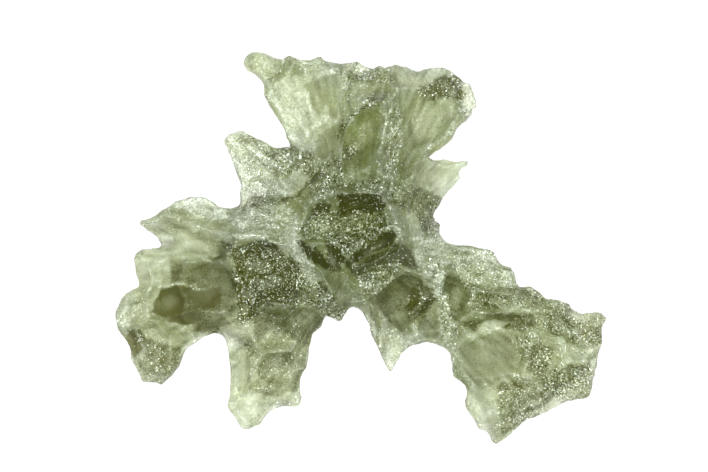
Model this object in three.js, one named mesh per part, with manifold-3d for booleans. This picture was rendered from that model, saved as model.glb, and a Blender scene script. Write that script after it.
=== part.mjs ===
// Moldavite: a spiny, deeply etched piece of natural green glass. It is one closed solid, in millimetres,
// lying on its back on a small flat spot, with +Z up, +X along its width and the origin under its middle.
// It is made the way the real one was: a splash of glass, broken to an outline, then etched into pits whose
// walls meet in sharp ridges and spines.
import * as THREE from "three";
import { ImprovedNoise } from "three/addons/math/ImprovedNoise.js";
import { mergeVertices } from "three/addons/utils/BufferGeometryUtils.js";
import Module from "manifold-3d";

// Driving dimensions
const SPLASH = { x: 21, y: 19, z: 6.9, middle: 5.3 }; // half sizes of the lens of glass, and its height
const SPLASH_DETAIL = 5; // times that the lens's faces are divided
const STOCK_HEIGHT = 14; // taller than the lens, so that the outline cuts it right through
const EDGE = 0.2; // half the thickness left at the rim
const RIM_STEP = 3.4; // spacing of the pits etched along the rim
const RIM_PIT = { along: 3.3, across: 2.0, outside: 0.5, rise: 1.4, backRise: 1.7 };
const RIM_SHARE = { least: 0.65, most: 1.15, room: 0.6 }; // a rim pit's size, and its share of the room
const LEVEL_GAP = 0.7; // rims that differ by more than this in height keep their pits apart
const BACK_STEP = 5.4; // spacing of the pits on the back
const BACK_PIT = { across: 3.1, rise: 1.1, least: 0.8, most: 1.2, stray: 0.5 };
const BACK_ROOF = { middle: 1.0, outer: 2.9, from: 3, to: 11 }; // height of the back pits' roofs, by distance
const REST_SPOT = { x: -0.8, y: 0.6, radius: 2.4 }; // flat spot under the stone, left free of pits
const UNEVEN = { size: 1.7, height: 0.22 }; // width and height of the lumps in a pit's wall
const DISH_RINGS = [0, 0.5, 1.05, 1.65, 2.4]; // radii of a dish's rings, by its half width
const DISH_SIDES = { least: 7, most: 11, perMillimetre: 3.2 }; // a wider dish has more sides
const DISH_RISE = 0.45; // an even dish's rise at its half width, as a share of that width
const SEED = 7;

// The rim, clockwise seen from above, in stretches with the height of their edge
const RIM = {
  crown: {
    level: 5.2,
    points: [
      [-5.2, 14], [-4.7, 13.7], [-3.8, 13.6], [-3, 14], [-2.5, 13.6], [-1.6, 13.4], [-0.8, 13.6],
      [-0.2, 13.7], [0.3, 13.3], [0.9, 13.1], [1.4, 13.4], [1.9, 13.1], [2.6, 13.4], [3.2, 13.3],
      [3.8, 13.6], [4.3, 13.4], [4.7, 13.1], [6, 13.2], [6.7, 13], [7.2, 12.5], [7.5, 12], [8, 12],
      [8.2, 11.1], [8.4, 10.4], [8.1, 10.1], [8.2, 9.8], [7.8, 9.5], [7.3, 9.2], [6.9, 8.7], [6.6, 8],
      [5.8, 7.3], [5.1, 6.9], [4.7, 6.5],
    ],
  },
  fin: {
    level: 2.6,
    points: [
      [5.3, 6.5], [6.3, 6.5], [7.3, 6.3], [8, 6.5], [7.8, 6.1], [7.4, 5.9], [7.3, 5.4], [7.5, 5.2],
      [7.2, 4.9], [7, 4.7], [7.1, 4.1],
    ],
  },
  shoulder: {
    level: 5.5,
    points: [
      [7.1, 3.3], [6.6, 2.7], [6.1, 2.1], [5.6, 1.2], [6.3, 0.4], [7.3, 0.1], [8.5, -0.1], [9.7, -0.4],
      [10.4, -1.2], [11.1, -1.4], [11.4, -2.4], [11.5, -2.9],
    ],
  },
  rightArm: {
    level: 5.2,
    points: [
      [12.4, -2.9], [12.9, -3.2], [13.6, -3.8], [14.3, -4], [15.3, -4.1], [15.4, -4.5], [15.9, -4.9],
      [16.8, -4.9], [17.4, -4.8], [18, -5.2], [17.7, -5.7], [17.7, -6.9], [17.3, -8.2], [17, -9.4],
      [16.8, -10.6], [16.5, -10.9], [15.2, -11.1], [14.3, -11.7], [12.9, -12.2], [12.2, -12.5],
      [11.3, -13.3], [10.4, -14.1], [9.9, -14.4], [9.6, -14.2], [9.4, -13.6], [8.7, -13.1],
      [8.2, -12.4], [7.7, -11.7], [7.9, -10.7], [7.7, -10.1], [7, -9.5], [6.8, -8.8], [6.7, -7.8],
      [6.4, -7.3],
    ],
  },
  centreSpur: {
    level: 5.0,
    points: [
      [5.6, -7], [4.7, -6.8], [3.8, -7.1], [3, -7.8], [2.6, -8.5], [2.2, -9.1], [1.9, -8.5],
      [1.5, -7.6], [1, -6.5], [0.7, -5.7], [0, -4.5], [-0.3, -4.3], [-0.8, -4.4], [-1.1, -4.9],
      [-1.6, -5.2], [-2.2, -5.1], [-2.6, -4.9],
    ],
  },
  middleSpur: {
    level: 4.2,
    points: [
      [-2.8, -5.6], [-3.1, -6], [-3.6, -6.3], [-3.8, -7.3], [-4.1, -8.7], [-4.4, -9.7], [-4.5, -11.4],
      [-4.7, -11.7], [-5.7, -11.7], [-6.5, -12], [-7.5, -12.9], [-8.2, -13.3], [-8.6, -13.3],
      [-9.1, -12.7], [-9.6, -12], [-9.7, -11.5], [-9.5, -10.7], [-9.6, -9.5], [-9.5, -8.7],
      [-9.7, -7.8], [-9.8, -6.9], [-10.2, -6.4], [-10.8, -6.2],
    ],
  },
  leftSpur: {
    level: 4.6,
    points: [
      [-11.5, -6.5], [-12.1, -7], [-12.8, -7.4], [-13.2, -8.2], [-13.7, -9], [-14.7, -10.1],
      [-15.1, -9.8], [-16, -9.8], [-16.5, -8.9], [-16.8, -8.2], [-17, -7.3], [-17.5, -6.4],
      [-17.9, -5.4], [-18, -4.8], [-17.6, -4], [-17.3, -3.5], [-16.8, -3.1],
    ],
  },
  knob: {
    level: 4.1,
    points: [
      [-16.2, -2.9], [-16.2, -2.6], [-16.5, -2], [-16.6, -1.1], [-16.5, -0.5], [-16, -0.2],
      [-15.3, -0.1],
    ],
  },
  spike: {
    level: 5.6,
    points: [
      [-14.5, 0.1], [-14.8, 0.6], [-15.3, 1.2], [-15.7, 1.4], [-16.2, 1.9], [-15.4, 2.2], [-14.7, 2.5],
      [-14, 2.9], [-13.5, 3.4], [-12.5, 3.6], [-11.5, 3.7], [-11, 3.4], [-10.4, 2.9], [-9.6, 2.9],
      [-8.9, 3.1],
    ],
  },
  horn: {
    level: 5.0,
    points: [
      [-8.7, 3.8], [-8.7, 4.7], [-9.1, 5.7], [-9.4, 6.6], [-9.6, 7.3], [-9.9, 7.8], [-9.7, 8.2],
      [-8.8, 8.5], [-8, 8.2], [-7.3, 7.9], [-6.3, 7.3], [-5.5, 7.3],
    ],
  },
  crownWing: {
    level: 4.2,
    points: [
      [-5, 7.1], [-5.2, 7.9], [-5.6, 8.8], [-6.1, 9.6], [-6.6, 10.4], [-6.9, 11.1], [-7.2, 12.2],
      [-7.8, 12.8], [-8.3, 13.2], [-8.5, 13.6], [-8.3, 14.1], [-7.9, 14.4], [-7.2, 14.3], [-6.5, 14],
      [-5.8, 13.8],
    ],
  },
};

// Pits of the upper side, by region: centre, height of the floor, half length along and across, turn from
// +X in degrees, and steepness against an even dish
const PITS = {
  crown: {
    wingDish: { at: [-4.7, 10.6], floor: 4.9, along: 4.1, across: 2.9, turn: 70, steep: 0.8 },
    wingTop: { at: [-6.9, 13.2], floor: 4.8, along: 1.9, across: 1.3, turn: 0, steep: 0.9 },
    wingPocket: { at: [-3.1, 7.9], floor: 5, along: 1.9, across: 1.4, turn: 80, steep: 1.6 },
    brow: { at: [-1.6, 11.9], floor: 6.2, along: 2.2, across: 1.5, turn: 50, steep: 1 },
    browTop: { at: [0.4, 12.2], floor: 6.5, along: 1.3, across: 1.0, turn: 0, steep: 1.2 },
    olivePanel: { at: [0, 7.8], floor: 6, along: 2.8, across: 1.4, turn: 66, steep: 2.2 },
    ribGutter: { at: [2.5, 8.1], floor: 8.2, along: 3.2, across: 0.6, turn: 92, steep: 2.2 },
    rightDish: { at: [4.9, 9.2], floor: 5.9, along: 2.9, across: 2.1, turn: 60, steep: 1 },
    rightDishFoot: { at: [3.8, 6.9], floor: 6.6, along: 1.8, across: 1.2, turn: 60, steep: 1.2 },
    backLedge: { at: [3.9, 13.6], floor: 4.2, along: 2.2, across: 1.8, turn: 0, steep: 2.6 },
    corner: { at: [6.3, 11.7], floor: 6, along: 1.6, across: 1.0, turn: 20, steep: 1.2 },
    endFacet: { at: [7.8, 11], floor: 5.4, along: 1.3, across: 0.8, turn: 80, steep: 1 },
  },
  core: {
    pit: { at: [-0.6, 1.9], floor: 6.4, along: 2.9, across: 1.9, turn: 0, steep: 2.4 },
    pitRight: { at: [1, 0.1], floor: 7.4, along: 2.1, across: 1.0, turn: 28, steep: 2.2 },
    pitLeft: { at: [-2.8, 1.6], floor: 7.4, along: 1.3, across: 1.8, turn: 60, steep: 1.6 },
    pitDrain: { at: [-2.1, -0.7], floor: 7.4, along: 1.2, across: 0.9, turn: -40, steep: 1.8 },
    saddle: { at: [-0.6, 5.1], floor: 8, along: 2.3, across: 1.0, turn: 5, steep: 1.4 },
    neckRight: { at: [3.5, 4.7], floor: 7.6, along: 1.6, across: 1.2, turn: 80, steep: 1.2 },
    finHollow: { at: [6, 5.1], floor: 3.3, along: 1.9, across: 1.5, turn: -20, steep: 3.2 },
    shoulder: { at: [4.7, 2.5], floor: 7.4, along: 1.3, across: 1.2, turn: 0, steep: 1.3 },
    drain: { at: [-0.9, -2.9], floor: 6.4, along: 2.2, across: 1.0, turn: -60, steep: 1.9 },
    glitterStep: { at: [1.4, -2.1], floor: 6.9, along: 1.9, across: 1.0, turn: 22, steep: 1.6 },
    spurDish: { at: [2.7, -4.1], floor: 5.4, along: 2.5, across: 1.8, turn: 40, steep: 1.9 },
    spurFoot: { at: [2.5, -6.9], floor: 5.2, along: 2.2, across: 1.2, turn: 80, steep: 0.9 },
    spurRight: { at: [4.8, -5.4], floor: 5.6, along: 1.6, across: 1.0, turn: 60, steep: 1.2 },
  },
  left: {
    hornDish: { at: [-7.5, 5.1], floor: 5.1, along: 2.6, across: 1.6, turn: -60, steep: 0.9 },
    hornInner: { at: [-5, 5.3], floor: 5.6, along: 1.8, across: 1.2, turn: 50, steep: 1.3 },
    hornLip: { at: [-7.2, 7.2], floor: 5.7, along: 1.6, across: 0.9, turn: -20, steep: 0.9 },
    lump: { at: [-11.8, 2.8], floor: 5.6, along: 1.8, across: 0.9, turn: -15, steep: 0.9 },
    saddleLeft: { at: [-7.7, 2.5], floor: 7, along: 1.9, across: 1.0, turn: 10, steep: 1.2 },
    ridgeSide: { at: [-5, 2.5], floor: 8, along: 1.5, across: 1.0, turn: 60, steep: 1.2 },
    spikeUnder: { at: [-12.8, 0.3], floor: 5.4, along: 2.5, across: 1.2, turn: -10, steep: 1.3 },
    greySlope: { at: [-7.1, -1.9], floor: 6, along: 2.8, across: 2.1, turn: -25, steep: 1.5 },
    greyFoot: { at: [-8.4, -4.1], floor: 5.6, along: 1.6, across: 1.0, turn: 70, steep: 1.2 },
    knobHollow: { at: [-14.1, -1.6], floor: 5, along: 1.2, across: 0.9, turn: 60, steep: 1.6 },
    oliveDish: { at: [-11.5, -3.1], floor: 5, along: 2.2, across: 1.8, turn: 0, steep: 1.2 },
    darkDish: { at: [-14.1, -4], floor: 4.9, along: 1.6, across: 1.1, turn: 20, steep: 1.3 },
    bar: { at: [-12.9, -6], floor: 5, along: 1.8, across: 0.7, turn: -25, steep: 1.2 },
    leftEnd: { at: [-16.8, -4.8], floor: 5, along: 1.5, across: 1.0, turn: 70, steep: 1 },
    leftFoot: { at: [-15.3, -7.5], floor: 4.9, along: 1.9, across: 1.3, turn: -60, steep: 1 },
    middleTop: { at: [-6.5, -6.2], floor: 5, along: 2.1, across: 1.5, turn: 0, steep: 1.2 },
    middleSide: { at: [-4.1, -5.1], floor: 5.6, along: 1.5, across: 1.1, turn: 30, steep: 1.2 },
    middleLow: { at: [-6.2, -9.1], floor: 4.8, along: 1.9, across: 1.2, turn: 20, steep: 1 },
    middleColumn: { at: [-8.8, -9.2], floor: 4.6, along: 2.6, across: 0.8, turn: 90, steep: 1.2 },
    middleTip: { at: [-7.7, -11.7], floor: 4.6, along: 1.6, across: 0.9, turn: 25, steep: 0.9 },
    greyRight: { at: [-3.6, -3.1], floor: 7, along: 1.6, across: 1.0, turn: -50, steep: 1.4 },
  },
  right: {
    ridgeSlope: { at: [5.4, -0.1], floor: 7.5, along: 2.5, across: 1.1, turn: -66, steep: 0.8 },
    upperPlate: { at: [8.9, -1.5], floor: 6, along: 2.3, across: 1.5, turn: -20, steep: 1 },
    oliveCup: { at: [6.9, -3.7], floor: 6, along: 2.1, across: 1.2, turn: 80, steep: 1.5 },
    longTrough: { at: [10.4, -4], floor: 6.4, along: 2.8, across: 0.9, turn: -5, steep: 1.2 },
    smoothDish: { at: [9.2, -7.6], floor: 5.1, along: 2.8, across: 2.1, turn: -10, steep: 1 },
    arch: { at: [9.6, -5.6], floor: 5.9, along: 2.3, across: 0.7, turn: 8, steep: 1.4 },
    glitterCup: { at: [13.5, -8.2], floor: 5.9, along: 2.1, across: 1.6, turn: 40, steep: 1 },
    topRight: { at: [14, -5.6], floor: 6.2, along: 1.8, across: 1.0, turn: -20, steep: 1 },
    endCup: { at: [16.4, -6.6], floor: 5.6, along: 1.5, across: 1.2, turn: 60, steep: 1 },
    lowRight: { at: [15.7, -9.7], floor: 5.4, along: 1.6, across: 1.0, turn: 30, steep: 1 },
    paleDish: { at: [9.9, -11.1], floor: 5, along: 2.2, across: 1.6, turn: 10, steep: 0.9 },
    lowSlope: { at: [12.7, -10.6], floor: 5.6, along: 2.1, across: 1.2, turn: 30, steep: 1 },
    footTip: { at: [10.2, -12.9], floor: 5, along: 1.3, across: 1.0, turn: 40, steep: 0.9 },
  },
};

const wasm = await Module();
wasm.setup();
const noise = new ImprovedNoise();
const { clamp, lerp, smoothstep, degToRad, radToDeg } = THREE.MathUtils;

// Repeatable random numbers, by the minimal standard generator
const STEP_FACTOR = 16807;
const STEP_MODULUS = 2147483647;
let state = SEED;
function random(low, high) {
  state = (state * STEP_FACTOR) % STEP_MODULUS;
  return lerp(low, high, state / STEP_MODULUS);
}

function solidOf(geometry) {
  const bare = geometry.index ? geometry.toNonIndexed() : geometry.clone();
  bare.deleteAttribute("normal");
  bare.deleteAttribute("uv");
  const merged = mergeVertices(bare, 1e-5);
  return new wasm.Manifold(
    new wasm.Mesh({
      numProp: 3,
      vertProperties: merged.attributes.position.array,
      triVerts: new Uint32Array(merged.index.array),
    }),
  );
}

function geometryOf(solid) {
  const { vertProperties, triVerts } = solid.getMesh();
  const geometry = new THREE.BufferGeometry();
  geometry.setAttribute("position", new THREE.BufferAttribute(vertProperties, 3));
  geometry.setIndex(new THREE.BufferAttribute(triVerts, 1));
  geometry.computeVertexNormals();
  return geometry;
}

// One etched hollow: a dish turned from a parabola, stretched, set in place and made uneven. It opens upwards,
// or downwards for a hollow in the back.
function pit({ x, y, z, along, across, rise, turn = 0, down = false }) {
  const profile = DISH_RINGS.map((r) => new THREE.Vector2(r, rise * r * r));
  profile.push(new THREE.Vector2(0, profile.at(-1).y));
  const wanted = Math.round(DISH_SIDES.perMillimetre * Math.max(along, across));
  const sides = clamp(wanted, DISH_SIDES.least, DISH_SIDES.most);
  const dish = new THREE.LatheGeometry(profile, sides, random(0, Math.PI));
  dish.rotateX(down ? -Math.PI / 2 : Math.PI / 2);
  dish.scale(along, across, 1).rotateZ(degToRad(turn)).translate(x, y, z);
  roughen(dish.attributes.position);
  return solidOf(dish);
}

function roughen(corners) {
  const p = new THREE.Vector3();
  const q = new THREE.Vector3();
  for (let i = 0; i < corners.count; i++) {
    p.fromBufferAttribute(corners, i);
    q.copy(p).divideScalar(UNEVEN.size);
    const lump = UNEVEN.height * noise.noise(q.x, q.y, q.z);
    const drift = UNEVEN.height * noise.noise(q.y, q.z, q.x);
    corners.setXYZ(i, p.x + drift, p.y + lump, p.z + lump);
  }
}

// The splash-formed lens, broken to the outline and flat underneath
function blank(rim) {
  const outline = new THREE.Shape(rim.map((p) => new THREE.Vector2(p.x, p.y)));
  const stock = new THREE.ExtrudeGeometry(outline, { depth: STOCK_HEIGHT, bevelEnabled: false });
  const lens = new THREE.IcosahedronGeometry(1, SPLASH_DETAIL);
  lens.scale(SPLASH.x, SPLASH.y, SPLASH.z).translate(0, 0, SPLASH.middle);
  return solidOf(stock).intersect(solidOf(lens));
}

// Evenly spaced stations along the rim, each with its outward direction
function stationsAlong(rim) {
  const stations = [];
  let ahead = 0;
  rim.forEach((a, i) => {
    const b = rim[(i + 1) % rim.length];
    const length = Math.hypot(b.x - a.x, b.y - a.y);
    const out = new THREE.Vector2(a.y - b.y, b.x - a.x).divideScalar(length);
    for (; ahead < length; ahead += RIM_STEP) {
      const p = a.clone().lerp(b, ahead / length);
      stations.push({ x: p.x, y: p.y, level: a.z, out });
    }
    ahead -= length;
  });
  return stations;
}

// Etching along the rim, from above and from below, that leaves a thin edge at the rim's own height
function rimPits(rim) {
  const stations = stationsAlong(rim);
  return stations.flatMap(({ x, y, level, out }) => {
    const others = stations.filter((s) => Math.abs(s.level - level) > LEVEL_GAP);
    const room = Math.min(...others.map((s) => Math.hypot(s.x - x, s.y - y)));
    const fit = Math.min(1, (RIM_SHARE.room * room) / RIM_PIT.across);
    const share = fit * random(RIM_SHARE.least, RIM_SHARE.most);
    const place = {
      x: x + out.x * RIM_PIT.outside * share,
      y: y + out.y * RIM_PIT.outside * share,
      along: RIM_PIT.along * share,
      across: RIM_PIT.across * share,
      turn: radToDeg(out.angle()) + 90,
    };
    return [
      pit({ ...place, z: level + EDGE, rise: RIM_PIT.rise }),
      pit({ ...place, z: level - EDGE, rise: RIM_PIT.backRise, down: true }),
    ];
  });
}

function upperPits() {
  const rows = Object.values(PITS).flatMap((region) => Object.values(region));
  return rows.map(({ at: [x, y], floor, along, across, turn, steep }) => {
    const rise = (steep * DISH_RISE * (along + across)) / 2;
    return pit({ x, y, z: floor, along, across, rise, turn });
  });
}

// Etching of the back, in staggered rows, deeper away from the middle and clear of the rest spot
function backPits() {
  const made = [];
  const rowStep = (BACK_STEP * Math.sqrt(3)) / 2;
  const rows = Math.floor(SPLASH.y / rowStep);
  const columns = Math.floor(SPLASH.x / BACK_STEP) + 1;
  const stray = () => random(-BACK_PIT.stray, BACK_PIT.stray) / 2;
  for (let j = -rows; j <= rows; j++) {
    for (let i = -columns; i <= columns; i++) {
      const x = (i + (j % 2) / 2 + stray()) * BACK_STEP;
      const y = (j + stray()) * rowStep;
      const grow = random(BACK_PIT.least, BACK_PIT.most);
      const across = BACK_PIT.across * grow;
      const rise = BACK_PIT.rise * grow;
      const outward = smoothstep(Math.hypot(x, y), BACK_ROOF.from, BACK_ROOF.to);
      const roof = lerp(BACK_ROOF.middle, BACK_ROOF.outer, outward);
      const mouth = across * Math.sqrt(roof / rise);
      const gap = Math.hypot(x - REST_SPOT.x, y - REST_SPOT.y) - REST_SPOT.radius;
      if (gap > mouth) made.push(pit({ x, y, z: roof, along: across, across, rise, down: true }));
    }
  }
  return made;
}

// The stone: the blank with every hollow cut out, without the loose chips that the cuts leave
function etchedStone() {
  const rim = Object.values(RIM).flatMap(({ level, points }) =>
    points.map(([x, y]) => new THREE.Vector3(x, y, level)),
  );
  const body = blank(rim).trimByPlane([0, 0, 1], 0);
  const etched = wasm.Manifold.difference([body, ...rimPits(rim), ...upperPits(), ...backPits()]);
  const [largest] = etched.decompose().sort((a, b) => b.volume() - a.volume());
  return largest;
}

const glass = new THREE.MeshStandardMaterial({
  name: "moldavite_glass",
  color: 0x8f9c5f,
  roughness: 0.25,
  metalness: 0,
});
const stone = new THREE.Mesh(geometryOf(etchedStone()), glass);
stone.name = "moldavite";

const moldavite = new THREE.Group();
moldavite.add(stone);
export default moldavite;
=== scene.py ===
"""Moldavite: a spiny piece of natural green glass, with its etched surface and its clear olive glass."""

import math

import bmesh
import bpy
import numpy as np
from bpy.props import FloatProperty, IntProperty, PointerProperty, StringProperty
from mathutils import Euler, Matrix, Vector, noise


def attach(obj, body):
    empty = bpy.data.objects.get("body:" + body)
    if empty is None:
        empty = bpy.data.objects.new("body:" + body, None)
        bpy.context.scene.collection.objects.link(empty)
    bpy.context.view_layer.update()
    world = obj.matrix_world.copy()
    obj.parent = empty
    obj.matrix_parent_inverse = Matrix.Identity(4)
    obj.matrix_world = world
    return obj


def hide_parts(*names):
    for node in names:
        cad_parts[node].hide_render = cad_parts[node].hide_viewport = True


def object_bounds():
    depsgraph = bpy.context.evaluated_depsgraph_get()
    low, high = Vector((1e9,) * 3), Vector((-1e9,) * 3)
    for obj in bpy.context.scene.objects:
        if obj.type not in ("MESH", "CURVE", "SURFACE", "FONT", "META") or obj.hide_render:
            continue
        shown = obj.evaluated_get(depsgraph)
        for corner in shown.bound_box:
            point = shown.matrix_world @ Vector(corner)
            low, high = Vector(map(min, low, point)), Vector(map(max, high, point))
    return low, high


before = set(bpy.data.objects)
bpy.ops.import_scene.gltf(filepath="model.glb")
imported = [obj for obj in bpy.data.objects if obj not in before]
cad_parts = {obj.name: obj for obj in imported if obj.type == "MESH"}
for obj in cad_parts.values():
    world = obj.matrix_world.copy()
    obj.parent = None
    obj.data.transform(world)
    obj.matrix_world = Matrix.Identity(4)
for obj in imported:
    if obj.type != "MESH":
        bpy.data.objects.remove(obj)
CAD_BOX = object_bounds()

bl_info = {
    "name": "Moldavite",
    "version": (1, 0, 0),
    "blender": (4, 5, 0),
    "location": "3D View > Sidebar > Moldavite",
    "description": "Builds a spiny moldavite with its etched surface, its glass and its stage",
    "category": "Object",
}

MM = 0.001
NODE = "moldavite"
BODY = "root"
SEED = 7
MERGE_DISTANCE = 1e-4 * MM

# The facets' attributes: how etched, how deep in colour and how frosted each is. The depth of colour
# holds painted shade too, and the frost holds painted glints and a painted highlight on the crests
ETCH = "etch"
SHADE = "shade"
FROST = "frost"

# Those three values between the panels of the upper side, and on the back
PLAIN = np.array((0.5, 0.1, 0.1))
BACK = np.array((0.3, 0.0, 0.05))

# The panels' edges in millimetres, how wide and how wavy, and the length of the waves
PANEL_EDGE = 0.2
PANEL_WOBBLE = 0.25
WOBBLE_SIZE = 0.6 * MM

# How much the values drift from place to place, and over what length
DRIFT = 0.25
DRIFT_SIZE = 1.2 * MM

# The panels' share on an upright wall, and how fast it grows with the rise of the surface's normal
UPWARD_SHARE = 0.6
UPWARD_GAIN = 2

# The back is where the normal rises less than this. Vertex groups hold their shares in steps.
BACK_SLOPE = -0.2
GROUP_STEPS = 10

# Smoothing of the walls. A point that stands this many mesh steps proud of its surroundings starts to be
# a ridge, and is one a span further on. A ridge is held back by this share.
RIDGE_ROUNDS = 5
RIDGE_START = 0.12
RIDGE_SPAN = 0.22
RIDGE_HOLD = 0.9
SMOOTHING = 0.8

# Painted light on crests and creases, which stand this far out of the surface around them or lie this far
# below it: a pale frosted veil as a painted highlight on the crests, and painted shade in the creases
CREST_ROUNDS = 12
CREST_HEIGHT = 0.1 * MM
CREST_HIGHLIGHT_FROST = 0.09
CREASE_PAINTED_SHADE = 0.15
CREASE_GAIN = 3

# Flow lines: how deep and how frosted they are, their number per radian and their length
FLOW_SHADE = 0.45
FLOW_FROST = 0.8
STREAKS = 40
STREAK_LENGTH = 1.6 * MM

# Tone of the single facets: the panels' veil, the share that are painted glints (white frosted facets),
# and how unlike the others are
PALE_FROST = 0.28
PAINTED_GLINTS = 0.18
PLAIN_ETCH = 0.35
PAINTED_GLINT_FROST = 0.5
DULL = 0.65
SATIN = 0.15

# Facets are flat from this etch on, give or take, and edges are sharp from this angle on
FACETED = 0.4
SCATTER = 0.25
SHARP_ANGLE = math.radians(32)

# The etch at which the surface is all satin, and all facets
SATIN_ETCH = 0.1
FACET_ETCH = 0.6

# The photograph's frame: its size, and the place and scale of the stone in it
PICTURE_WIDTH = 708
PICTURE_HEIGHT = 472
STONE_MIDDLE = (360.5, 248.0)
STONE_WIDTH = 491

# The stage: the room darkens between these rises of a direction, up to straight above
ROOM_DARKENS = 0.6
ROOM_DARK = 0.97
FLOOR_SIZE = 1.5
FLOOR_ROUGHNESS = 0.9
NEAR_CLIP = 1 * MM
LIGHT_BOUNCES = 24
CLEAR_BOUNCES = 20

# The soft boxes: turn from +X and rise above the floor, in degrees, and how far off they are
LIGHT_DISTANCE = 0.4
LIGHTS = ((95, 48), (140, 68), (185, 50), (230, 66), (275, 46), (320, 68), (5, 50), (50, 66))
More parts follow.
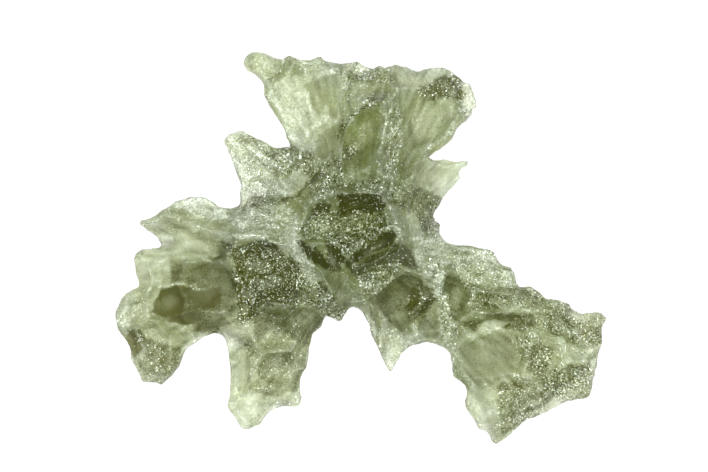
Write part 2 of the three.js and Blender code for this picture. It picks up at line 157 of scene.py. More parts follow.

# The panels of the upper side: how etched, how deep in colour and how frosted each is, and its outline
# in millimetres. A later panel lies over the ones before it. Their depth of colour is partly the glass's
# own olive and partly painted shade, as in the pit.
PANELS = {
    "wing": (0.18, 0, 0.7, ((-7.2, 12.0), (-1.5, 13.3), (-1.6, 7.2), (-2.8, 6.5), (-4.7, 7.2),
        (-5.6, 8.8))),
    "wing middle": (0.25, 0.12, 0.1, ((-4.3, 12.0), (-1.6, 12.9), (-1.8, 9.5), (-3.1, 9.8))),
    "wing foot": (0.3, 0.2, 0.15, ((-3.1, 8.4), (-1.6, 9.1), (-1.6, 7.2), (-2.7, 6.5), (-3.3, 6.9))),
    "crown brow": (0.9, 0.15, 0, ((-1.5, 12.9), (2.0, 13.1), (2.3, 12.0), (-0.0, 12.0), (-1.2, 11.7))),
    "pale band": (0.5, 0, 0.35, ((-1.5, 12.0), (1.3, 12.0), (0.7, 10.9), (-0.6, 9.5), (-1.5, 8.7),
        (-1.6, 10.9))),
    "V panel": (0.42, 0.05, 0, ((-0.2, 10.0), (0.8, 10.6), (1.4, 10.0), (1.3, 5.6), (-0.6, 5.1),
        (-1.6, 5.0), (-1.4, 7.8))),
    "V edge": (0.7, 0.5, 0, ((0.8, 11.0), (2.0, 10.9), (1.3, 10.3), (0.1, 10.0), (-1.1, 8.8),
        (-1.8, 7.8), (-1.5, 8.9))),
    "V glitter": (0.9, 0.2, 0.1, ((-1.2, 7.5), (-0.3, 7.7), (-0.2, 6.9), (-0.8, 6.3), (-1.4, 6.5))),
    "rib side": (0.35, 0.2, 0.35, ((1.4, 10.6), (2.2, 10.6), (2.0, 5.1), (1.3, 5.3))),
    "rib": (1, 0.05, 0.35, ((2.1, 10.6), (2.9, 10.6), (2.9, 7.2), (2.5, 4.8), (1.7, 5.0), (2.0, 7.9))),
    "right dish": (0.34, 0.1, 0.08, ((3.0, 11.0), (6.7, 10.9), (7.3, 10.0), (6.1, 8.3), (4.4, 7.0),
        (3.2, 7.2))),
    "crown pale": (0.35, 0, 0.35, ((2.7, 12.0), (5.8, 12.2), (4.2, 11.4), (3.2, 10.4), (2.7, 10.9))),
    "dark corner": (0.8, 0.7, 0, ((4.0, 11.5), (5.8, 12.5), (7.4, 12.6), (7.5, 11.0), (4.4, 10.8))),
    "right rim": (0.7, 0, 0.35, ((7.6, 12.3), (8.4, 11.1), (8.5, 9.7), (7.1, 9.4), (6.7, 10.6),
        (7.5, 11.0))),
    "crown rim": (0.3, 0, 0.55, ((2.3, 13.3), (4.0, 13.8), (4.7, 13.1), (6.4, 13.3), (5.8, 12.5),
        (4.0, 11.7), (2.7, 12.3))),
    "crown foot": (0.4, 0.3, 0, ((2.9, 7.2), (4.9, 7.0), (3.9, 5.7), (4.1, 4.8), (2.7, 4.8))),
    "saddle": (0.95, 0.2, 0.05, ((-3.1, 6.0), (-1.5, 6.6), (-1.1, 4.7), (1.7, 5.0), (1.7, 3.8),
        (-1.1, 4.3), (-3.6, 3.8), (-4.0, 4.8))),
    "neck": (0.6, 0.4, 0, ((1.7, 4.8), (4.2, 4.5), (6.0, 3.7), (7.3, 3.4), (5.8, 1.6), (5.5, 1.0),
        (4.4, 1.2), (3.2, 2.6), (1.9, 3.5))),
    "neck spots": (1, 0.1, 0.2, ((2.0, 4.7), (2.7, 4.7), (3.0, 3.5), (2.0, 3.4))),
    "fin": (0.2, 0, 0.55, ((4.1, 6.1), (4.7, 6.6), (8.2, 6.6), (7.4, 5.0), (7.3, 3.5), (5.8, 3.8),
        (4.4, 4.5), (3.8, 5.3))),
    "horn": (0.6, 0, 0.9, ((-10.2, 7.9), (-8.8, 8.7), (-7.1, 7.9), (-5.9, 4.3), (-5.5, 3.7), (-7.2, 3.9),
        (-8.5, 3.5), (-9.0, 5.0))),
    "horn top": (0.75, 0.2, 0.3, ((-9.1, 8.4), (-7.1, 7.9), (-5.6, 7.2), (-6.5, 6.5), (-7.7, 7.3),
        (-8.8, 7.6))),
    "horn base": (1, 0.12, 0.1, ((-7.2, 6.5), (-5.5, 7.3), (-3.7, 7.0), (-2.6, 6.1), (-3.1, 5.4),
        (-4.4, 5.6), (-5.5, 5.4), (-6.3, 5.9))),
    "horn facet": (0.3, 0, 0.9, ((-5.8, 5.1), (-4.4, 5.9), (-3.8, 5.1), (-4.7, 4.0), (-5.6, 3.6))),
    "horn foot": (0.7, 0.25, 0.2, ((-8.8, 3.5), (-7.2, 3.9), (-5.9, 3.5), (-7.2, 2.8), (-8.8, 2.3))),
    "shelf": (0.5, 0, 0.9, ((-9.9, 2.5), (-7.2, 3.1), (-5.5, 3.2), (-4.4, 1.7), (-4.7, 0.4), (-6.6, 0.7),
        (-9.6, 0.9))),
    "crack": (0.4, 0.8, 0, ((-3.0, 5.6), (-2.8, 5.4), (-4.4, 3.9), (-5.6, 3.2), (-5.8, 3.4),
        (-4.5, 4.0))),
    "spike top": (0.3, 0, 1, ((-13.7, 3.4), (-11.2, 4.0), (-9.7, 2.5), (-10.2, 1.8), (-11.8, 2.3),
        (-13.5, 2.9))),
    "spike": (0.4, 0.12, 0.35, ((-16.5, 1.9), (-13.7, 3.1), (-11.4, 2.1), (-8.8, 1.6), (-9.1, 0.4),
        (-11.4, 0.6), (-14.0, 1.2))),
    "spike dish": (0.2, 0.05, 0.45, ((-14.7, 1.2), (-12.5, 1.0), (-10.7, 0.0), (-11.4, -1.0),
        (-14.0, -0.7), (-14.6, 0.0))),
    "knob": (0.2, 0, 0.55, ((-16.6, -1.0), (-15.6, 0.1), (-14.1, -0.1), (-14.0, -1.6), (-14.7, -2.6),
        (-16.2, -2.6))),
    "left dish": (0.25, 0.6, 0, ((-14.0, -1.2), (-10.9, -0.9), (-10.0, -0.1), (-9.3, -1.2), (-9.1, -3.8),
        (-9.4, -5.1), (-10.7, -3.8), (-12.1, -2.7), (-13.8, -2.6))),
    "olive dish": (0.28, 0.95, 0, ((-15.0, -3.7), (-14.6, -2.9), (-13.4, -2.8), (-12.1, -3.1),
        (-10.2, -3.4), (-10.2, -4.5), (-11.4, -5.0), (-12.1, -5.6), (-13.2, -5.7), (-15.3, -4.7))),
    "dish lip": (0.38, 0.65, 0, ((-11.8, -4.1), (-10.0, -4.8), (-9.7, -5.7), (-11.3, -6.5),
        (-12.5, -5.9))),
    "yellow strip": (0.3, 0.3, 0.1, ((-15.4, -4.8), (-14.1, -5.4), (-12.4, -6.4), (-12.9, -7.1),
        (-14.7, -6.3), (-15.4, -5.4))),
    "left rim": (0.5, 0.05, 0.35, ((-17.0, -3.1), (-14.7, -2.9), (-15.0, -4.0), (-15.6, -4.7),
        (-17.5, -5.1), (-17.9, -4.5))),
    "foot dark": (0.4, 0.95, 0, ((-17.5, -6.3), (-16.6, -5.9), (-16.1, -7.5), (-16.5, -8.2),
        (-17.2, -7.2))),
    "foot dark line": (0.5, 0.8, 0, ((-16.2, -5.9), (-15.3, -7.0), (-15.7, -7.5), (-16.2, -6.8))),
    "left foot": (0.5, 0.5, 0.04, ((-15.3, -6.9), (-13.1, -7.3), (-13.1, -8.7), (-14.6, -10.1),
        (-16.0, -9.8), (-16.2, -8.4))),
    "grey slope": (0.8, 0.76, 0, ((-10.2, 0.5), (-8.8, 0.1), (-6.8, 0.6), (-4.4, -1.0), (-4.1, -3.1),
        (-4.6, -4.2), (-7.2, -4.2), (-8.1, -5.4), (-8.8, -5.4), (-9.1, -3.8), (-9.4, -2.3), (-9.0, -1.0),
        (-9.9, -0.1))),
    "slope foot": (0.95, 0.35, 0, ((-4.6, -1.0), (-2.2, -3.1), (-0.9, -5.1), (-2.2, -5.4), (-3.4, -4.3),
        (-4.4, -4.0))),
    "thick ridge": (0.5, 0, 0.95, ((-5.6, 3.1), (-4.4, 2.4), (-4.5, 1.0), (-3.6, -0.9), (-2.8, -2.3),
        (-3.6, -2.6), (-4.7, -1.0), (-6.2, 0.4), (-5.2, 1.0))),
    "yellow ridge": (0.3, 0.3, 0.2, ((-3.0, -1.0), (-1.6, -1.5), (-0.6, -3.8), (-1.1, -4.8),
        (-2.2, -2.9))),
    "pit floor": (1, 0.35, 0.05, ((-4.4, 1.3), (-3.0, 3.1), (-1.4, 2.5), (1.4, 3.1), (2.3, 1.6),
        (0.7, 0.3), (-1.1, -0.7), (-2.6, 0.6), (-4.0, 0.7))),
    "pit shelf": (0.85, 0.1, 0.25, ((-4.1, 1.9), (-3.1, 2.3), (-1.9, 1.6), (-2.5, 0.7), (-4.0, 0.7))),
    # The pit's roof, corner, bands and spot are dark with painted shade, the shade of the pit's walls
    "pit roof": (0.62, 1, 0, ((-1.6, 4.0), (1.4, 3.8), (1.9, 3.0), (0.1, 2.4), (-1.6, 2.3))),
    "pit corner": (0.7, 0.9, 0, ((-3.5, 2.6), (-2.8, 3.3), (-2.1, 3.1), (-2.7, 2.1))),
    "pit left band": (0.45, 1, 0, ((-4.5, 0.6), (-3.7, 0.3), (-2.6, -0.7), (-1.4, -1.2), (-1.6, -1.7),
        (-3.1, -1.2), (-4.2, -0.2))),
    "pit spot": (0.5, 1, 0, ((-2.6, 0.7), (-1.9, 0.4), (-1.2, -1.0), (-2.1, -1.1))),
    "pit right band": (0.4, 1, 0, ((-1.2, -1.0), (2.3, 1.4), (2.7, 0.6), (1.4, -0.1), (-0.0, -0.7),
        (-0.9, -1.4))),
    "pit rim": (0.6, 0, 0.4, ((1.6, 3.6), (2.0, 3.3), (3.0, 1.0), (2.8, 0.1), (2.3, 1.5))),
    "step": (0.5, 0.68, 0, ((-0.8, -1.4), (2.6, 0.3), (3.8, -0.1), (4.1, -1.5), (2.6, -1.0), (0.7, -2.0),
        (-0.6, -2.0))),
    "step glitter": (1, 0.2, 0.15, ((-0.5, -2.1), (2.9, -0.8), (2.7, -2.1), (1.4, -3.1), (0.5, -3.4))),
    "spur dish": (0.25, 0.58, 0, ((0.4, -3.8), (2.9, -1.8), (4.2, -2.0), (5.4, -3.6), (4.1, -5.3),
        (2.9, -6.2), (2.2, -5.4))),
    "spur dark": (0.5, 0.75, 0, ((4.3, -2.3), (5.6, -3.5), (4.8, -4.7), (3.5, -5.3), (3.3, -3.7))),
    "spur tip": (0.4, 0, 0.5, ((1.6, -7.1), (2.9, -6.4), (5.2, -6.1), (4.4, -6.8), (3.0, -8.2),
        (2.3, -9.4))),
    "spur edge": (0.4, 0.15, 0.3, ((-0.0, -4.3), (0.5, -3.8), (2.5, -5.7), (2.0, -7.0), (1.1, -6.5))),
    "spur side": (0.35, 0.4, 0, ((4.2, -5.3), (5.7, -4.1), (5.9, -6.5), (4.7, -6.6))),
    "lobe": (0.42, 0.5, 0, ((-8.0, -5.1), (-7.2, -4.3), (-4.4, -4.3), (-2.7, -5.0), (-3.1, -6.0),
        (-3.8, -7.5), (-5.2, -6.4), (-6.6, -6.0), (-7.7, -6.7))),
    "left column": (0.3, 0.1, 0.35, ((-10.3, -5.7), (-9.0, -6.0), (-8.4, -7.1), (-8.2, -10.0),
        (-9.6, -10.3), (-9.9, -7.1))),
    "column": (0.45, 0.36, 0.05, ((-8.4, -6.7), (-4.4, -7.1), (-3.8, -9.1), (-4.3, -10.8), (-7.2, -11.0),
        (-8.2, -10.4))),
    "white tip": (0.25, 0, 0.75, ((-9.9, -10.5), (-7.2, -10.6), (-7.5, -11.9), (-8.4, -13.6),
        (-9.7, -12.2))),
    "tip side": (0.5, 0, 0.35, ((-7.2, -11.3), (-4.4, -10.4), (-4.6, -11.9), (-6.6, -12.2))),
    "plate": (0.42, 0.05, 0.85, ((3.3, 2.6), (4.1, 2.5), (4.7, 0.7), (5.8, 1.0), (6.6, -1.0),
        (5.9, -1.5), (6.0, -3.1), (6.3, -6.2), (5.6, -6.5), (5.7, -3.8), (4.7, -2.6), (3.8, -0.1))),
    "plate glitter": (0.9, 0, 0.4, ((4.9, -0.7), (5.8, -1.0), (5.7, -2.1), (5.1, -2.3))),
    "upper plate": (0.65, 0, 0.5, ((6.1, 0.3), (9.6, -0.3), (11.4, -1.3), (11.7, -2.9), (8.8, -2.9),
        (7.4, -2.1), (6.6, -1.2))),
    "olive fold": (0.3, 0.45, 0, ((6.0, -2.5), (6.7, -1.6), (7.6, -2.6), (8.0, -3.5), (7.3, -5.3),
        (6.3, -5.1), (6.3, -3.5))),
    "arm ridge": (1, 0, 0.4, ((5.9, -3.3), (6.4, -3.3), (6.6, -5.1), (7.1, -5.9), (6.6, -7.5),
        (6.0, -6.8))),
    "arm top": (0.7, 0.3, 0.05, ((7.6, -2.7), (11.7, -2.9), (13.3, -3.4), (12.8, -4.5), (10.2, -4.3),
        (8.0, -4.6))),
    "arm fold": (0.3, 0, 0.5, ((9.5, -4.5), (11.3, -4.2), (12.7, -4.5), (11.3, -4.7))),
    "arm band": (0.45, 0.65, 0, ((7.3, -5.4), (9.5, -4.8), (12.4, -4.7), (13.0, -5.4), (11.7, -6.2),
        (10.2, -5.7), (8.4, -6.1))),
    "arm lip": (0.3, 0, 0.4, ((7.0, -7.2), (8.0, -6.2), (9.5, -5.1), (10.8, -5.4), (10.2, -6.0),
        (8.6, -6.5))),
    "smooth dish": (0.22, 0.35, 0.05, ((7.3, -7.2), (8.8, -6.4), (10.8, -6.3), (11.5, -7.5),
        (11.1, -9.4), (9.5, -10.0), (8.0, -9.5), (6.9, -8.7))),
    "pale dish": (0.25, 0.05, 0.3, ((7.7, -10.3), (9.9, -10.3), (10.4, -11.9), (9.5, -13.1),
        (8.2, -11.9))),
    "low arm": (0.65, 0.4, 0, ((10.2, -10.0), (11.7, -9.4), (13.7, -10.6), (13.2, -12.2), (11.7, -12.9),
        (10.4, -13.8), (10.1, -11.5))),
    "arm glitter": (0.75, 0.32, 0.06, ((13.0, -3.7), (15.5, -4.1), (16.2, -5.1), (17.7, -5.1),
        (17.7, -7.1), (15.4, -7.1), (13.5, -6.0), (12.8, -5.3))),
    "end dish": (0.8, 0.5, 0, ((11.8, -7.3), (13.0, -6.8), (14.0, -7.5), (13.7, -9.4), (12.7, -9.5),
        (11.8, -8.2))),
    "end cups": (0.95, 0.1, 0.2, ((11.0, -6.5), (12.7, -6.0), (13.2, -6.7), (12.0, -7.2), (11.4, -7.6))),
    "end pale": (0.45, 0, 0.35, ((14.3, -6.8), (17.0, -7.3), (17.1, -8.4), (15.5, -8.5), (14.3, -7.9))),
    "end": (0.85, 0.4, 0.06, ((13.2, -9.7), (14.6, -8.4), (17.0, -8.7), (16.7, -9.8), (14.6, -10.9),
        (13.6, -10.6))),
    "end edge": (0.6, 0.45, 0, ((14.3, -10.9), (17.0, -9.6), (17.0, -11.0), (15.1, -11.6))),
}


class StoneSettings(bpy.types.PropertyGroup):
    """Sizes of the stone's surface."""

    voxel: FloatProperty(
        name="Mesh step", description="Edge length of the fine mesh", default=0.13 * MM, unit="LENGTH"
    )
    faces: IntProperty(name="Faces", description="Triangles of the finished stone", default=190000)
    rounds: IntProperty(
        name="Smoothing", description="Rounds of smoothing of the pits' walls", default=4
    )
    fold_size: FloatProperty(
        name="Fold size", description="Width of the crumpled folds", default=2.2 * MM, unit="LENGTH"
    )
    fold_depth: FloatProperty(
        name="Fold depth", description="Depth of the crumpled folds", default=0.35 * MM, unit="LENGTH"
    )
    cup_size: FloatProperty(
        name="Cup size", description="Width of the small etched cups", default=1.1 * MM, unit="LENGTH"
    )
    cup_depth: FloatProperty(
        name="Cup depth", description="Depth of the small etched cups", default=0.12 * MM, unit="LENGTH"
    )
    dent_size: FloatProperty(
        name="Dent size", description="Width of the finest dents", default=0.5 * MM, unit="LENGTH"
    )
    dent_depth: FloatProperty(
        name="Dent depth", description="Depth of the finest dents", default=0.05 * MM, unit="LENGTH"
    )
    grain_depth: FloatProperty(
        name="Grain depth", description="Depth of the etched grain", default=0.035 * MM, unit="LENGTH"
    )


class GlassSettings(bpy.types.PropertyGroup):
    """Values of the stone's glass."""

    tint: StringProperty(
        name="Tint", description="Colour that deep glass takes, as sRGB hex", default="C2CB71"
    )
    thin: StringProperty(
        name="Thin", description="Colour of the palest facets, as sRGB hex", default="F8FBF0"
    )
    deep: StringProperty(
        name="Deep", description="Colour of the deepest facets, as sRGB hex", default="403C0C"
    )
    density: FloatProperty(
        name="Density", description="How fast the tint deepens, per metre", default=420
    )
    ior: FloatProperty(name="IOR", description="Index of refraction of moldavite", default=1.49)
    gloss: StringProperty(
        name="Gloss", description="Colour of the reflections, as sRGB hex", default="E8EECC"
    )
    clear: FloatProperty(
        name="Clear", description="Share of the light that goes into clear facets", default=0.99
    )
    frost: FloatProperty(
        name="Frost", description="Share of the light that goes into frosted facets", default=0.5
    )
    smooth: FloatProperty(name="Smooth", description="Roughness of the satin dishes", default=0.8)
    rough: FloatProperty(name="Rough", description="Roughness of each broken facet", default=0.29)


class StageSettings(bpy.types.PropertyGroup):
    """Values of the floor, the lights and the camera."""

    panel: StringProperty(
        name="Panel", description="Colour of the unlit floor, as sRGB hex", default="303030"
    )
    floor: StringProperty(
        name="Floor", description="Colour of the floor's glow, as sRGB hex", default="FFFFFF"
    )
    floor_glow: FloatProperty(
        name="Floor glow", description="Light that comes up through the floor", default=1.0
    )
    room: StringProperty(
        name="Room", description="Colour of the light all round, as sRGB hex", default="FFFFFF"
    )
    room_light: FloatProperty(
        name="Room light", description="Strength of the light all round", default=1.0
    )
    room_top: FloatProperty(
        name="Room top", description="Strength of the light straight above", default=0.3
    )
    daylight: StringProperty(
        name="Daylight", description="Colour of the soft boxes, as sRGB hex", default="F0F8FA"
    )
    box_power: FloatProperty(
        name="Light", description="Power of each soft box", default=1.0, unit="POWER"
    )
    box_size: FloatProperty(
        name="Soft box", description="Width of each soft box", default=0.36, unit="LENGTH"
    )
    lens: FloatProperty(
        name="Lens", description="Focal length of the camera in millimetres", default=135.0
    )


class SceneSettings(bpy.types.PropertyGroup):
    """All settings of the moldavite."""

    stone: PointerProperty(name="Stone", description="Sizes of the stone's surface", type=StoneSettings)
    glass: PointerProperty(name="Glass", description="Values of the stone's glass", type=GlassSettings)
    stage: PointerProperty(name="Stage", description="Floor, lights and camera", type=StageSettings)


def linear(text):
    """The linear colour of an sRGB hex value."""
    parts = [int(text[i : i + 2], 16) / 255 for i in (0, 2, 4)]
    return tuple(p / 12.92 if p <= 0.04045 else ((p + 0.055) / 1.055) ** 2.4 for p in parts) + (1.0,)


def add_node(tree, kind, settings=None, values=None, links=None):
    """Adds a node, with its settings, the values of its sockets and the links into them."""
    node = tree.nodes.new(kind)
    for name, value in (settings or {}).items():
        setattr(node, name, value)
    for socket, value in (values or {}).items():
        node.inputs[socket].default_value = value
    for socket, source in (links or {}).items():
        tree.links.new(source, node.inputs[socket])
    return node


def etched_glass(settings):
    """Moldavite glass. Ground water etched it: its dishes are satin, and its rough places
    glitter, partly with painted glints. Thin edges are nearly white, and the thick middle is a dark olive,
    deepened with painted shade."""
    material = bpy.data.materials.new("moldavite_etched_glass")
    material.use_nodes = True
    tree = material.node_tree
    tree.nodes.clear()
    etch = add_node(tree, "ShaderNodeAttribute", {"attribute_name": ETCH})
    shade = add_node(tree, "ShaderNodeAttribute", {"attribute_name": SHADE})
    colour = add_node(
        tree,
        "ShaderNodeMix",
        {"data_type": "RGBA"},
        {6: linear(settings.thin), 7: linear(settings.deep)},
        {0: shade.outputs["Fac"]},
    )
    haze = add_node(
        tree,
        "ShaderNodeMapRange",
        values={
            "From Min": SATIN_ETCH,
            "From Max": FACET_ETCH,
            "To Min": settings.smooth,
            "To Max": settings.rough,
        },
        links={"Value": etch.outputs["Fac"]},
    )
    frost = add_node(tree, "ShaderNodeAttribute", {"attribute_name": FROST})
    clear = add_node(
        tree,
        "ShaderNodeMapRange",
        values={"To Min": settings.clear, "To Max": settings.frost},
        links={"Value": frost.outputs["Fac"]},
    )
    skin = add_node(
        tree,
        "ShaderNodeBsdfPrincipled",
        values={"IOR": settings.ior, "Specular Tint": linear(settings.gloss)},
        links={
            "Base Color": colour.outputs[2],
            "Roughness": haze.outputs["Result"],
            "Transmission Weight": clear.outputs["Result"],
        },
    )
    depth = add_node(
        tree,
        "ShaderNodeVolumeAbsorption",
        values={"Color": linear(settings.tint), "Density": settings.density},
    )
    add_node(
        tree,
        "ShaderNodeOutputMaterial",
        links={"Surface": skin.outputs["BSDF"], "Volume": depth.outputs["Volume"]},
    )
    return material


def evaluated(piece):
    """The piece's mesh with its modifiers applied, and the modifiers removed."""
    depsgraph = bpy.context.evaluated_depsgraph_get()
    mesh = bpy.data.meshes.new_from_object(piece.evaluated_get(depsgraph))
    piece.modifiers.clear()
    piece.data = mesh
    return mesh


def merged_copy(node):
    """A new object with the node's triangles joined at their corners."""
    form = bmesh.new()
    form.from_mesh(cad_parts[node].data)
    bmesh.ops.remove_doubles(form, verts=form.verts, dist=MERGE_DISTANCE)
    mesh = bpy.data.meshes.new(node + "_stone")
    form.to_mesh(mesh)
    form.free()
    piece = bpy.data.objects.new(node + "_stone", mesh)
    bpy.context.scene.collection.objects.link(piece)
    return piece


def vectors(items, name):
    """The named vectors of a mesh's points, as rows."""
    values = np.empty(len(items) * 3)
    items.foreach_get(name, values)
    return values.reshape(-1, 3)


def averaged(mesh, values, rounds):
    """The values of a mesh's points after rounds of averaging with the points around them."""
    ends = np.empty(len(mesh.edges) * 2, int)
    mesh.edges.foreach_get("vertices", ends)
    one, other = ends.reshape(-1, 2).T
    valence = np.bincount(ends, minlength=len(values))
    for _ in range(rounds):
        sums = [
            np.bincount(one, column[other], len(column)) + np.bincount(other, column[one], len(column))
            for column in values.T
        ]
        values = np.stack(sums, axis=1) / valence[:, None]
    return values


def proudness(mesh, rounds):
    """How far each point stands out of the surface around it, in metres."""
    points = vectors(mesh.vertices, "co")
    return ((points - averaged(mesh, points, rounds)) * vectors(mesh.vertices, "normal")).sum(axis=1)


def soften_walls(mesh, rounds, step):
    """Smooths the pits' walls and leaves the ridges sharp: a point that stands proud moves less."""
    ridge = np.clip((proudness(mesh, RIDGE_ROUNDS) / step - RIDGE_START) / RIDGE_SPAN, 0, 1)
    free = 1 - RIDGE_HOLD * ridge[:, None]
    points = vectors(mesh.vertices, "co")
    for _ in range(rounds):
        points = points + SMOOTHING * free * (averaged(mesh, points, 1) - points)
    mesh.vertices.foreach_set("co", points.ravel())
    mesh.update()


def inside(x, y, outline):
    """How far each point is inside an outline: 0.5 at its edge, and 0 or 1 from a half edge's width on."""
    nearest = np.full(len(x), np.inf)
    within = np.zeros(len(x), bool)
    for (ax, ay), (bx, by) in zip(outline, outline[1:] + outline[:1]):
        run, rise = bx - ax, by - ay
        along = np.clip(((x - ax) * run + (y - ay) * rise) / (run**2 + rise**2), 0, 1)
        nearest = np.minimum(nearest, np.hypot(x - ax - along * run, y - ay - along * rise))
        if rise:
            within ^= ((ay > y) != (by > y)) & (x < ax + (y - ay) * run / rise)
    return np.clip(0.5 + np.where(within, nearest, -nearest) / PANEL_EDGE, 0, 1)


def drift(points, size):
    """A slow change from place to place, from about -1 to 1, as rows of three."""
    noise.seed_set(SEED)
    return np.array([noise.noise_vector(Vector(point) / size) for point in points])


def panels(mesh):
    """How etched, how deep in colour and how frosted each point is, as columns."""
    points = vectors(mesh.vertices, "co")
    upward = np.clip(UPWARD_GAIN * vectors(mesh.vertices, "normal")[:, 2] + UPWARD_SHARE, 0, 1)
    x, y, _ = (points / MM + PANEL_WOBBLE * drift(points, WOBBLE_SIZE)).T
    values = np.tile(PLAIN, (len(points), 1))
    for *panel, outline in PANELS.values():
        share = inside(x, y, outline)[:, None]
        values += share * (np.array(panel) - values)
    values *= 1 + DRIFT * drift(points, DRIFT_SIZE)
    return np.clip(BACK + upward[:, None] * (values - BACK), 0, 1)


def share_group(piece, name, shares):
    """A vertex group that holds each point's share, in steps."""
    group = piece.vertex_groups.new(name=name)
    steps = np.rint(shares * GROUP_STEPS).astype(int)
    for step in range(GROUP_STEPS + 1):
        group.add(np.flatnonzero(steps == step).tolist(), step / GROUP_STEPS, "REPLACE")


def flow_lines(points):
    """Fine lines that run outward from the stone's middle, from about -1 to 1."""
    x, y, z = points.T
    turn, reach = np.arctan2(y, x), np.hypot(x, y)
    places = np.stack([STREAKS * turn, reach / STREAK_LENGTH, z / STREAK_LENGTH], axis=1)
    return np.array([noise.noise(Vector(place)) for place in places])


def face_means(mesh, values):
    """The mean of the values at each face's corners."""
    corners = np.empty(len(mesh.loops), int)
    mesh.loops.foreach_get("vertex_index", corners)
    starts = np.empty(len(mesh.polygons), int)
    mesh.polygons.foreach_get("loop_start", starts)
    return np.add.reduceat(values[corners], starts) / np.diff(np.append(starts, len(corners)))


def roughen(mesh, depth):
    """Throws the etched points out of line by up to a depth, and gives each facet its own tone: some are
    painted glints, white and frosted, and the others are more or less dull. Creases get painted shade, and
    crests a pale veil as a painted highlight. The facets are wider than the stone's own grain, so that they
    show."""
    chance = np.random.default_rng(SEED)
    etch, shade, frost = panels(mesh).T
    points = vectors(mesh.vertices, "co")
    crest = np.clip(proudness(mesh, CREST_ROUNDS) / CREST_HEIGHT, -1, 1)
    flow = flow_lines(points)
    # Painted light: shade in the creases, and a pale frosted veil on the crests as a highlight
    crease = np.clip(-CREASE_GAIN * crest, 0, 1)
    shade = shade + CREASE_PAINTED_SHADE * crease + FLOW_SHADE * np.clip(flow, 0, 1)
    frost = PALE_FROST * (frost + FLOW_FROST * np.clip(-flow, 0, 1)) + CREST_HIGHLIGHT_FROST * np.clip(crest, 0, 1)
    points += chance.uniform(-depth, depth, points.shape) * etch[:, None]
    points[:, 2] = np.maximum(points[:, 2], 0)
    mesh.vertices.foreach_set("co", points.ravel())
    etch, shade, frost = (face_means(mesh, values) for values in (etch, shade, frost))
    luck = chance.uniform(0, 1, (4, len(etch)))
    # Painted glints: a share of the etched facets turn white and frosted, standing for the lights'
    # reflections
    painted_glint = luck[0] < PAINTED_GLINTS * np.clip((etch - PLAIN_ETCH) / (1 - PLAIN_ETCH), 0, 1)
    shade = np.where(painted_glint, 0, shade + (SATIN + DULL * etch) * luck[1])
    # A facet's veil is from none to twice the panel's; a painted glint adds a white veil of its own
    frost = 2 * frost * luck[2] + PAINTED_GLINT_FROST * painted_glint * luck[2]
    for name, values in ((ETCH, etch), (SHADE, shade), (FROST, frost)):
        values = np.clip(values, 0, 1).astype(np.float32)
        mesh.attributes.new(name, "FLOAT", "FACE").data.foreach_set("value", values)
    mesh.set_sharp_from_angle(angle=SHARP_ANGLE)
    mesh.polygons.foreach_set("use_smooth", etch + SCATTER * (2 * luck[3] - 1) < FACETED)
    mesh.update()


class MOLDAVITE_OT_stone(bpy.types.Operator):
    """Dress the stone: fine pits, ridges and etched cups, in clear olive glass"""

    bl_idname = "moldavite.stone"
    bl_label = "Stone"

    def execute(self, context):
        settings = context.scene.moldavite.stone
        piece = merged_copy(NODE)
        remesh = piece.modifiers.new("fine mesh", "REMESH")
        remesh.mode = "VOXEL"
        remesh.voxel_size = settings.voxel
        mesh = evaluated(piece)
        soften_walls(mesh, settings.rounds, settings.voxel)
        share_group(piece, "etched", panels(mesh)[:, 0])
        downward = vectors(mesh.vertices, "normal")[:, 2] < BACK_SLOPE
        share_group(piece, "back", np.where(downward, 1, 0))
        self.dent(piece, "MUSGRAVE", settings.fold_size, settings.fold_depth)
        self.dent(piece, "VORONOI", settings.cup_size, settings.cup_depth)
        self.dent(piece, "VORONOI", settings.dent_size, settings.dent_depth)
        evaluated(piece)
        fewer = piece.modifiers.new("fewer faces", "DECIMATE")
        # The fine mesh's faces are squares, each of two triangles
        fewer.ratio = settings.faces / (2 * len(piece.data.polygons))
        fewer.vertex_group = "back"
        fewer.use_collapse_triangulate = True
        mesh = evaluated(piece)
        roughen(mesh, settings.grain_depth)
        mesh.materials.clear()
        mesh.materials.append(etched_glass(context.scene.moldavite.glass))
        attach(piece, BODY)
        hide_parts(NODE)
        return {"FINISHED"}

    def dent(self, piece, kind, size, depth):
        """Adds folds or cups of a size and a depth, as deep as the places are etched."""
        cells = bpy.data.textures.new(kind.lower(), kind)
        cells.noise_scale = size
        if kind == "MUSGRAVE":
            cells.musgrave_type = "RIDGED_MULTIFRACTAL"
        dents = piece.modifiers.new(kind.lower(), "DISPLACE")
        dents.texture = cells
        dents.texture_coords = "LOCAL"
        dents.vertex_group = "etched"
        dents.strength = depth


def soft_light(name, turn, rise, settings):
    """A round soft box that looks at the stone, at a turn from +X and a rise above the floor in degrees."""
    lamp = bpy.data.lights.new(name, "AREA")
    lamp.shape = "DISK"
    lamp.size = settings.box_size
    lamp.energy = settings.box_power
    lamp.color = linear(settings.daylight)[:3]
    light = bpy.data.objects.new(name, lamp)
    bpy.context.scene.collection.objects.link(light)
    toward = Euler((0, math.radians(90 - rise), math.radians(turn))).to_matrix() @ Vector((0, 0, 1))
    light.location = toward * LIGHT_DISTANCE
    light.rotation_euler = (-toward).to_track_quat("-Z", "Y").to_euler()


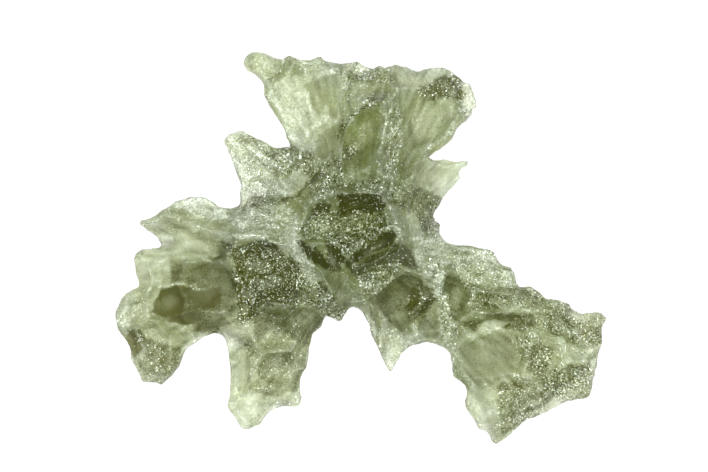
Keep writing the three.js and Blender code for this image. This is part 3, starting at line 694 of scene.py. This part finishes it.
class MOLDAVITE_OT_stage(bpy.types.Operator):
    """Set the pale floor, the soft lights and the camera that looks down on the stone"""

    bl_idname = "moldavite.stage"
    bl_label = "Stage"

    def execute(self, context):
        scene = context.scene
        settings = scene.moldavite.stage
        self.add_floor(scene, settings)
        self.add_lights(scene, settings)
        self.add_camera(scene, settings)
        return {"FINISHED"}

    def add_floor(self, scene, settings):
        """A pale floor that glows, as a light table does."""
        form = bmesh.new()
        bmesh.ops.create_grid(form, x_segments=1, y_segments=1, size=FLOOR_SIZE)
        mesh = bpy.data.meshes.new("floor")
        form.to_mesh(mesh)
        form.free()
        floor = bpy.data.objects.new("floor", mesh)
        scene.collection.objects.link(floor)
        material = bpy.data.materials.new("pale_light_table")
        material.use_nodes = True
        skin = material.node_tree.nodes["Principled BSDF"]
        skin.inputs["Base Color"].default_value = linear(settings.panel)
        skin.inputs["Roughness"].default_value = FLOOR_ROUGHNESS
        skin.inputs["Emission Color"].default_value = linear(settings.floor)
        skin.inputs["Emission Strength"].default_value = settings.floor_glow
        mesh.materials.append(material)

    def add_lights(self, scene, settings):
        """A white room that is darker straight above, and a ring of soft boxes."""
        world = bpy.data.worlds.new("room")
        world.use_nodes = True
        tree = world.node_tree
        sky = tree.nodes["Background"]
        sky.inputs["Color"].default_value = linear(settings.room)
        way = add_node(tree, "ShaderNodeTexCoord").outputs["Generated"]
        height = add_node(tree, "ShaderNodeSeparateXYZ", links={"Vector": way}).outputs["Z"]
        strength = add_node(
            tree,
            "ShaderNodeMapRange",
            values={
                "From Min": ROOM_DARKENS,
                "From Max": ROOM_DARK,
                "To Min": settings.room_light,
                "To Max": settings.room_top,
            },
            links={"Value": height},
        )
        tree.links.new(strength.outputs["Result"], sky.inputs["Strength"])
        scene.world = world
        for number, (turn, rise) in enumerate(LIGHTS):
            soft_light(f"soft box {number}", turn, rise, settings)

    def add_camera(self, scene, settings):
        """A long lens straight above, which frames the stone as the photograph does."""
        scale = 2 * CAD_BOX[1].x / STONE_WIDTH
        lens = bpy.data.cameras.new("camera")
        lens.lens = settings.lens
        lens.clip_start = NEAR_CLIP
        camera = bpy.data.objects.new("camera", lens)
        scene.collection.objects.link(camera)
        reach = PICTURE_WIDTH * scale * lens.lens / lens.sensor_width
        camera.location = (
            (PICTURE_WIDTH / 2 - STONE_MIDDLE[0]) * scale,
            (STONE_MIDDLE[1] - PICTURE_HEIGHT / 2) * scale,
            reach + CAD_BOX[1].z / 2,
        )
        scene.camera = camera
        scene.view_settings.view_transform = "Standard"
        scene.cycles.max_bounces = LIGHT_BOUNCES
        scene.cycles.transmission_bounces = CLEAR_BOUNCES


class MOLDAVITE_PT_panel(bpy.types.Panel):
    """Lists the moldavite's steps and settings"""

    bl_idname = "MOLDAVITE_PT_panel"
    bl_label = "Moldavite"
    bl_space_type = "VIEW_3D"
    bl_region_type = "UI"
    bl_category = "Moldavite"

    def draw(self, context):
        settings = context.scene.moldavite
        steps = (
            (MOLDAVITE_OT_stone, settings.stone),
            (None, settings.glass),
            (MOLDAVITE_OT_stage, settings.stage),
        )
        for operator, group in steps:
            box = self.layout.box()
            if operator:
                box.operator(operator.bl_idname)
            for name in group.bl_rna.properties.keys():
                if name not in {"rna_type", "name"}:
                    box.prop(group, name)


CLASSES = (
    StoneSettings,
    GlassSettings,
    StageSettings,
    SceneSettings,
    MOLDAVITE_OT_stone,
    MOLDAVITE_OT_stage,
    MOLDAVITE_PT_panel,
)


def register():
    for item in CLASSES:
        bpy.utils.register_class(item)
    bpy.types.Scene.moldavite = PointerProperty(type=SceneSettings)


def unregister():
    del bpy.types.Scene.moldavite
    for item in reversed(CLASSES):
        bpy.utils.unregister_class(item)


def main():
    register()
    bpy.ops.moldavite.stone()
    bpy.ops.moldavite.stage()


if __name__ == "__main__":
    main()
